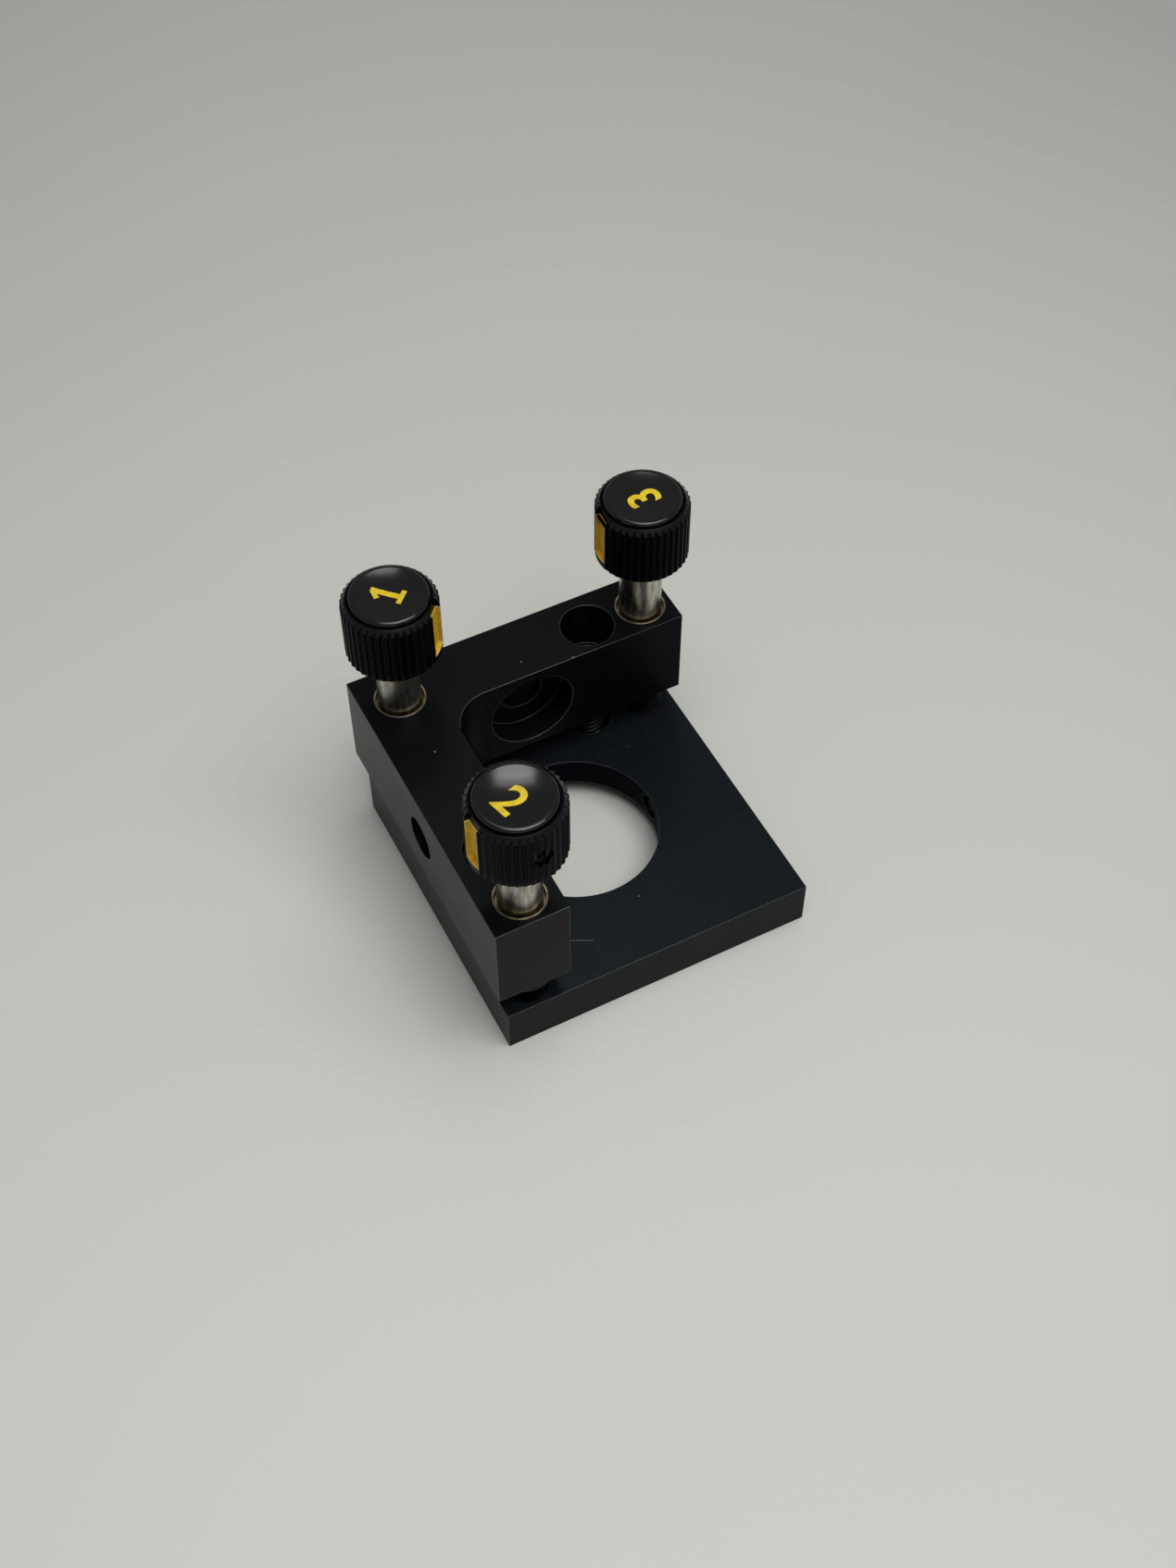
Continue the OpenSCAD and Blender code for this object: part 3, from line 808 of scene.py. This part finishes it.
def cap_profile(sizes, radius, top, spigot_radius):
    """A cap's half section, its rim at the height top, from the dish's middle to the spigot's."""
    edge = 0.06 * MM
    steps = 24
    radii = [sizes.dish_radius * step / steps for step in range(steps)]
    dish = [(r, top - dish_height(sizes, r), 0.0) for r in radii]
    corners = dish + [
        (sizes.dish_radius, top, edge), (radius, top, sizes.rim_round), (radius, 0.0, edge),
        (spigot_radius, 0.0, 0.0), (spigot_radius, -sizes.spigot, edge),
        (0.0, -sizes.spigot, 0.0)]
    return divided(rounded(corners, 8)[::-1], 0.6 * MM)


# The outline of a 1 with a flag and a foot, for a type size of 1
ONE = ((-0.18, 0.2), (0.0, 0.37), (0.105, 0.37), (0.105, -0.255), (0.22, -0.255), (0.22, -0.36),
       (-0.15, -0.36), (-0.15, -0.255), (-0.025, -0.255), (-0.025, 0.2), (-0.11, 0.12))


def cap_number(text, sizes, top, spot, turn):
    """A number that follows the dish, a little proud of it."""
    thickness, longest_edge, rounds_of_cuts = 0.1 * MM, 0.35 * MM, 4
    if text == "1":
        curve = bpy.data.curves.new("number_" + text, "CURVE")
        curve.dimensions = "2D"
        curve.fill_mode = "BOTH"
        outline = curve.splines.new("POLY")
        outline.points.add(len(ONE) - 1)
        outline.use_cyclic_u = True
        for corner, (x, y) in zip(outline.points, ONE):
            corner.co = (x * sizes.number_size, y * sizes.number_size, 0.0, 1.0)
    else:
        curve = bpy.data.curves.new("number_" + text, "FONT")
        curve.body = text
        curve.size = sizes.number_size
        curve.offset = sizes.number_weight
        curve.align_x = "CENTER"
        curve.align_y = "CENTER"
    curve.extrude = thickness / 2
    mesh = plain_mesh(linked("number_writing", curve))
    with editing(mesh) as shape:
        bmesh.ops.remove_doubles(shape, verts=shape.verts, dist=CLOSE)
        bmesh.ops.triangulate(shape, faces=shape.faces)
        middle = sum((v.co.to_2d().to_3d() for v in shape.verts), Vector()) / len(shape.verts)
        for _ in range(rounds_of_cuts):
            long = [edge for edge in shape.edges if edge.calc_length() > longest_edge]
            if long:
                bmesh.ops.subdivide_edges(shape, edges=long, cuts=1)
                bmesh.ops.triangulate(shape, faces=shape.faces)
        for vertex in shape.verts:
            vertex.co -= middle
            lift = sizes.number_height if vertex.co.z > 0 else -sizes.number_height
            vertex.co.z = top - dish_height(sizes, vertex.co.xy.length) + lift
    clothe(mesh, "number yellow")
    place(mesh, spot, turn)
    shade(mesh)
    return mesh


# ---- springs

def swept_graph():
    """Sweeps a round wire along a row of joined points."""
    g = GeometryGraph("swept wire", {"Wire Radius": "Float", "Sides": "Int"})
    route = g.make("GeometryNodeMeshToCurve", {"Mesh": g.input("Geometry")})
    ring = g.make("GeometryNodeCurvePrimitiveCircle",
                  {"Resolution": g.input("Sides"), "Radius": g.input("Wire Radius")})
    return g.end(g.make("GeometryNodeCurveToMesh",
                        {"Curve": route, "Profile Curve": ring, "Fill Caps": True}))


def spring_route(sizes, middle, reach):
    """The wire's centre line about a spring's middle: coils, then a bend and a hook at each end.
    With it come the places on it where the coils begin, part in three and end."""
    coil, wire = sizes.coil_radius, sizes.wire / 2
    hook_centre = reach + sizes.bar / 2 + wire + sizes.hook_gap - coil
    coil_top = hook_centre - coil - wire
    start = radians(-112)
    last = start + 2 * pi * round(sizes.turns / 2)
    join = 1.1 * MM
    turn_steps, bend_steps, hook_steps = 36, 12, 30

    def coil_point(turn):
        return Vector((coil * cos(turn), coil * sin(turn), coil_top * turn / last))

    def hook_point(turn):
        return Vector((0.0, -coil * cos(turn), hook_centre + coil * sin(turn)))

    heading = Vector((-sin(last), cos(last), 0.0))
    first = hook_point(0.0)
    bend = [coil_point(last), coil_point(last) + join * heading,
            first - Vector((0.0, 0.0, join)), first]
    steps = ceil(last / (2 * pi) * turn_steps)
    half = [coil_point(last * i / steps) for i in range(1, steps + 1)]
    half += [bezier(bend, i / bend_steps) for i in range(1, bend_steps)]
    half += [hook_point(sizes.hook_open * i / hook_steps) for i in range(hook_steps + 1)]
    lower = [Vector((p.x, -p.y, -p.z)) for p in reversed(half)]
    third = round(steps / 3)
    marks = [len(half) + mark for mark in (-steps, -third, third, steps)]
    return [p + middle for p in lower + [coil_point(0.0)] + half], marks


def bezier(points, t):
    a, b, c, d = points
    s = 1 - t
    return s ** 3 * a + 3 * s * s * t * b + 3 * s * t * t * c + t ** 3 * d


def spring_pieces(side, sizes, reach, turn):
    """One spring in three lengths of wire, cut from one route where its coils part in three."""
    node = side + "_spring"
    middle = centre_of(node)
    route, marks = spring_route(sizes, Vector((0.0, 0.0, middle.z)), reach)
    lengths = (("plate_end", "link_2", "plate", 0, marks[1]),
               ("coils", "link_1", "link_2", marks[1], marks[2]),
               ("rear_end", "frame", "link_1", marks[2], len(route) - 1))
    for (part, upper, lower, first, last), foot, head in zip(lengths, marks, marks[1:]):
        name = node + "_" + part
        mesh = grown(name, chain(name + "_route", route[first:last + 1]), swept_graph,
                     {"Wire Radius": sizes.wire / 2, "Sides": 16,
                      "Material": finish_of("spring satin")})
        place(mesh, Vector((middle.x, middle.y, 0.0)), turn)
        shade(mesh, WIRE_SHARP)
        piece = linked(name, mesh)
        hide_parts(node)
        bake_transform(piece)


# ---- table of finishes

# Small chips in the black, each (x, y, z, size) in millimetres
FRAME_CHIPS = ((7.89, 18.02, 29.0, 0.5), (6.05, 15.04, 29.0, 0.45), (8.43, 18.16, 29.0, 0.4),
               (-1.11, 17.91, 29.0, 0.25), (-19.59, 8.25, 29.0, 0.25))
PLATE_CHIPS = ((1.69, -14.64, 8.0, 0.2),) + tuple(
    (-10.78 + 0.23 * step, -17.07 - 0.118 * step, 8.0, 0.15) for step in range(13))

# Each finish: its maker, the names of its colours and the maker's other values
FINISHES = {
    "frame black": (anodised, "body", 0.31, 0.085, 1.0, 0.5, FRAME_CHIPS),
    "plate black": (anodised, "plate", 0.34, 0.06, 2.0, 0.7),
    "plate face": (anodised, "face", 0.3, 0.1, 2.0, 0.7, PLATE_CHIPS, (0.7, 0.9, 1.0)),
    "inner black": (anodised, "inner", 0.4, 0.035, 4.0, 0.3),
    "bore black": (anodised, "bore", 0.4, 0.006, 4.0, 0.3),
    # Eased edges, lighter than the black: partly wear, partly painted highlight.
    "worn edge": (anodised, "edge", 0.26, 0.3, 5.0, 0.3),
    "knob black": (anodised, "knob", 0.32, 0.04, 3.0, 0.2, (), (0.76, 0.9, 1.0)),
    "knob shoulder": (anodised, "shoulder", 0.24, 0.35, 6.0, 0.3),
    "cap enamel": (cap_gloss, "cap"),
    "number yellow": (paint, "ink", (0.62, 0.4, 0.008, 1.0), 0.38, 1.0),
    "index amber": (paint, "index", (0.54, 0.31, 0.007, 1.0), 0.5, 2.0, 0.14),
    # The index fill's eased edges are paler: painted highlight.
    "index edge": (paint, "rim", (0.6, 0.42, 0.08, 1.0), 0.4, 3.0, 0.4),
    "screw satin": (turned_steel, "steel", (0.32, 0.255, 0.165, 1.0), 0.3, 1.0),
    "bar satin": (ground_steel, "hard", 0.34, 2.0),
    # The springs' dark wire is partly painted shade of the gap and pockets.
    "spring satin": (ground_steel, "wire", 0.34, 3.0),
    "ball polish": (ground_steel, "hard", 0.14, 4.0),
    # The seats' near black is partly painted shade of the gap.
    "seat ground": (ground_steel, "seat", 0.36, 5.0),
    # Below 14 mm the bushings' brass is near black: painted shade under the frame.
    "bushing brass": (dull_brass, "brass", (0.2, 0.15, 0.07, 1.0), 14 * MM),
    "oxide black": (black_oxide, "oxide"),
    "tip nylon": (nylon, "nylon"),
    # The worktop's colour runs from near to far: a painted pool of light round the mount.
    "worktop": (worktop, "near", "far", -0.13, 0.4),
}


def finish_of(name):
    """The finish of that name, built when it is first asked for."""
    if name not in bpy.data.materials:
        colours = bpy.context.scene.mount_colours
        maker, *values = FINISHES[name]
        maker(name, *(getattr(colours, v) if isinstance(v, str) else v for v in values))
    return bpy.data.materials[name]


def dress(node, finish):
    """Gives a CAD node that stays as it is a finish."""
    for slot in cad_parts[node].material_slots:
        slot.material = finish_of(finish)


# ---- stage

def look_at(spot, aim, roll=0.0):
    """The placing of a camera or a lamp that looks from a spot to an aim."""
    way = (Vector(aim) - Vector(spot)).to_track_quat("-Z", "Y")
    return Matrix.Translation(spot) @ way.to_matrix().to_4x4() @ Matrix.Rotation(roll, 4, "Z")


# The point that the lamps shine at
LIT = Vector((0.0, 0.0, 0.02))


def panel_lamp(name, way, width, depth, radiance, tint, gloss_only=False):
    """A flat lamp, some way from the lit point, whose face has a radiance. It lights all
    surfaces or is seen in gloss alone."""
    light = bpy.data.lights.new(name, "AREA")
    light.shape = "RECTANGLE"
    light.size = width
    light.size_y = depth
    light.energy = 4 * radiance * width * depth
    light.color = tint
    lamp = linked(name, light)
    lamp.matrix_world = look_at(LIT + way, LIT)
    lamp.visible_diffuse = not gloss_only


def soft_world(level):
    """An even surround."""
    world = bpy.data.worlds.new("soft surround")
    world.use_nodes = True
    surround = Graph(world.node_tree)
    surround.tree.nodes.clear()
    light = surround.make("ShaderNodeBackground",
                          {"Color": (1.0, 1.0, 0.98, 1.0), "Strength": level})
    surround.make("ShaderNodeOutputWorld", {"Surface": light})
    return world


class MOUNT_OT_stage(bpy.types.Operator):
    """Lays the worktop, hangs the lamps and sets up the camera"""

    bl_idname = "mount.stage"
    bl_label = "Stage"

    def execute(self, context):
        sizes = context.scene.mount_stage
        top = bpy.data.meshes.new("worktop")
        with editing(top) as shape:
            bmesh.ops.create_grid(shape, x_segments=24, y_segments=24, size=sizes.floor / 2)
        clothe(top, "worktop")
        linked("worktop", top)
        panel, warm = sizes.panel_radiance, (1.0, 0.99, 0.95)
        panel_lamp("ceiling_panel", 2.0 * Vector((0.152, 0.358, 0.921)), 0.42, 0.3, panel, warm,
                   True)
        panel_lamp("ceiling_glow", 2.0 * Vector((0.1875, 0.4417, 0.8773)), 0.42, 0.16,
                   sizes.glow_share * panel, warm, True)
        panel_lamp("soft_fill", 2.6 * Vector((0.102, -0.219, 0.97)), 2.0, 2.0,
                   sizes.fill_radiance, (1.0, 1.0, 0.97))
        context.scene.world = soft_world(sizes.surround)
        context.scene.view_settings.view_transform = "Standard"
        lens = bpy.data.cameras.new("camera")
        lens.sensor_fit = "VERTICAL"
        lens.sensor_height = 36.0
        lens.lens = sizes.lens
        lens.clip_start = 0.01
        camera = linked("camera", lens)
        camera.matrix_world = look_at(sizes.camera, sizes.aim, sizes.roll)
        context.scene.camera = camera
        return {"FINISHED"}


# ---- pieces

# In millimetres: the frame's inner faces lie right of X and in front of Y, the plate's rear face
# above Z, and the walls of the optic's bore within a reach of the middle
INNER_X, INNER_Y, REAR_Z, BORE_REACH = -14.7, 15.1, 7.9, 14.5


class MOUNT_OT_bodies(bpy.types.Operator):
    """Eases the edges of the rear frame and the front plate"""

    bl_idname = "mount.bodies"
    bl_label = "Frame and plate"

    def execute(self, context):
        edge = context.scene.mount_body.frame_edge
        # Inner faces take a darker copy of the frame's anodising as painted shade; the eased
        # edges take a lighter one, worn edges with a painted highlight.
        softened("rear_frame", edge, ["frame black", "inner black", "worn edge"],
                 "anodised_body", "frame",
                 lambda spot, way: abs(way.z) < 0.1 and spot.x > INNER_X and spot.y < INNER_Y)
        # The bore's walls take a darker copy of the plate's anodising as painted shade; the eased
        # edges take a lighter one, worn edges with a painted highlight.
        softened("front_plate", edge, ["plate black", "bore black", "plate face", "worn edge"],
                 "anodised_body", "plate",
                 lambda spot, way: (2 if way.z > 0.99 and spot.z > REAR_Z else
                                    abs(way.z) < 0.1 and spot.xy.length < BORE_REACH))
        return {"FINISHED"}


class MOUNT_OT_bushings(bpy.types.Operator):
    """Turns the brass bushings, with a chamfer at each mouth"""

    bl_idname = "mount.bushings"
    bl_label = "Bushings"

    def execute(self, context):
        for side in SIDES:
            low, high = span(side + "_bushing")
            middle = axis_of(side)
            middle.z = low
            height = high - low
            sleeve, flange, thick = 3.85 * MM, 4.6 * MM, 1.2 * MM
            bore = radius_of(side + "_screw") + 0.04 * MM
            mouth, deep, edge = 0.34 * MM, 1.2 * MM, 0.05 * MM
            profile = divided(rounded([
                (bore + mouth, 0.0, 0.0), (flange, 0.0, edge), (flange, thick, edge),
                (sleeve, thick, 0.0), (sleeve, height, edge), (bore + mouth, height, edge),
                (bore + mouth, height - deep, 0.0), (bore, height - deep, 0.0),
                (bore, mouth, 0.0), (bore + mouth, 0.0, 0.0)]), 1.2 * MM)
            turned_piece(side + "_bushing", "_turned", profile, "bushing brass",
                         "bushing_brass", "frame", middle)
        return {"FINISHED"}


class MOUNT_OT_screws(bpy.types.Operator):
    """Turns the adjuster screws, each with a tapered nose and a socket for its ball"""

    bl_idname = "mount.screws"
    bl_label = "Adjuster screws"

    def execute(self, context):
        for side in SIDES:
            radius = radius_of(side + "_screw")
            middle = axis_of(side)
            low, high = span(side + "_screw")
            top, foot = high - middle.z, low - middle.z
            socket = radius_of(side + "_ball") + 0.04 * MM
            first = asin(foot / socket)
            steps = 16
            turns = [first + (pi / 2 - first) * i / steps for i in range(steps)]
            hollow = [(0.0, socket, 0.0)] + [polar(socket, turn) for turn in reversed(turns)]
            nose, taper, chamfer, edge = 2.75 * MM, 1.2 * MM, 0.3 * MM, 0.05 * MM
            profile = divided(rounded(hollow + [
                (nose, foot, edge), (radius, foot + taper, 2 * edge),
                (radius, top - chamfer, edge), (radius - chamfer, top, edge),
                (0.0, top, 0.0)]), 1.0 * MM)
            turned_piece(side + "_screw", "_turned", profile, "screw satin", "screw_steel",
                         side + "_adjuster", middle)
        return {"FINISHED"}


class MOUNT_OT_knobs(bpy.types.Operator):
    """Makes the fluted knobs, with their index slots and set screw holes"""

    bl_idname = "mount.knobs"
    bl_label = "Knobs"

    def execute(self, context):
        scene = context.scene
        for side in SIDES:
            mesh = fluted_knob(side, scene.mount_knob, scene.mount_cap)
            finished(linked(side + "_knob_fluted", mesh), "anodised_knob",
                     side + "_adjuster", side + "_knob")
        return {"FINISHED"}


class MOUNT_OT_caps(bpy.types.Operator):
    """Turns the dished caps and lays a number on each"""

    bl_idname = "mount.caps"
    bl_label = "Caps and numbers"

    def execute(self, context):
        sizes = context.scene.mount_cap
        for side, text, reading in zip(SIDES, "123", sizes.readings):
            low, high = span(side + "_cap")
            seat = axis_of(side)
            seat.z = low + sizes.spigot
            rim = high - seat.z
            profile = cap_profile(sizes, radius_of(side + "_cap"), rim,
                                  radius_of(side + "_screw") - 0.12 * MM)
            turned_piece(side + "_cap", "_dished", profile, "cap enamel", "cap_gloss",
                         side + "_adjuster", seat, 128)
            digit = cap_number(text, sizes, rim, seat, reading)
            finished(linked(side + "_number", digit), "index_yellow", side + "_adjuster")
        return {"FINISHED"}


class MOUNT_OT_index_marks(bpy.types.Operator):
    """Lines the index slots with yellow and fits the set screws"""

    bl_idname = "mount.index_marks"
    bl_label = "Index marks and set screws"

    def execute(self, context):
        edge = context.scene.mount_body.small_edge
        for side in SIDES:
            softened(side + "_index_mark", edge, ["index amber", "index edge"], "index_yellow",
                     side + "_adjuster", name=side + "_index_fill")
            dress(side + "_set_screw", "oxide black")
        return {"FINISHED"}


class MOUNT_OT_seats(bpy.types.Operator):
    """Finishes the balls and the cone, vee and flat seats that they rest in"""

    bl_idname = "mount.seats"
    bl_label = "Balls and seats"

    def execute(self, context):
        edge = context.scene.mount_body.small_edge
        for side, node in zip(SIDES, ("cone_seat", "vee_seat", "flat_seat")):
            dress(side + "_ball", "ball polish")
            softened(node, edge, ["seat ground"], "dark_steel", "plate")
        return {"FINISHED"}


class MOUNT_OT_springs(bpy.types.Operator):
    """Winds the two extension springs with their hooks, and finishes the bars they hold"""

    bl_idname = "mount.springs"
    bl_label = "Springs and bars"

    def execute(self, context):
        for side, turn in (("front", pi / 2), ("right", 0.0)):
            bars = [f"{side}_spring_{end}_bar" for end in ("plate", "rear")]
            low, high = [centre_of(bar).z for bar in bars]
            spring_pieces(side, context.scene.mount_spring, (high - low) / 2, turn)
            for bar in bars:
                dress(bar, "bar satin")
        return {"FINISHED"}


class MOUNT_OT_optic_screw(bpy.types.Operator):
    """Finishes the screw that holds the optic and its nylon tip"""

    bl_idname = "mount.optic_screw"
    bl_label = "Optic screw"

    def execute(self, context):
        dress("optic_screw", "oxide black")
        dress("nylon_tip", "tip nylon")
        return {"FINISHED"}


class MOUNT_PT_panel(bpy.types.Panel):
    """Lists the mount's pieces and their sizes in the sidebar"""

    bl_idname = "MOUNT_PT_panel"
    bl_label = "Kinematic mirror mount"
    bl_space_type = "VIEW_3D"
    bl_region_type = "UI"
    bl_category = "Mount"

    def draw(self, context):
        for operator in OPERATORS:
            self.layout.operator(operator.bl_idname)
        for name, group in GROUPS.items():
            box = self.layout.box()
            for item in group.__annotations__:
                box.prop(getattr(context.scene, name), item)


# ---- running it

OPERATORS = (MOUNT_OT_stage, MOUNT_OT_bodies, MOUNT_OT_bushings, MOUNT_OT_screws,
             MOUNT_OT_knobs, MOUNT_OT_caps, MOUNT_OT_index_marks, MOUNT_OT_seats,
             MOUNT_OT_springs, MOUNT_OT_optic_screw)


def register():
    for group in GROUPS.values():
        bpy.utils.register_class(group)
    for name, group in GROUPS.items():
        setattr(bpy.types.Scene, name, bpy.props.PointerProperty(type=group))
    for made in OPERATORS + (MOUNT_PT_panel,):
        bpy.utils.register_class(made)


def unregister():
    for made in reversed(OPERATORS + (MOUNT_PT_panel,)):
        bpy.utils.unregister_class(made)
    for name, group in GROUPS.items():
        delattr(bpy.types.Scene, name)
        bpy.utils.unregister_class(group)


def main():
    register()
    for made in OPERATORS:
        getattr(bpy.ops.mount, made.bl_idname.split(".")[1])()


if __name__ == "__main__":
    main()
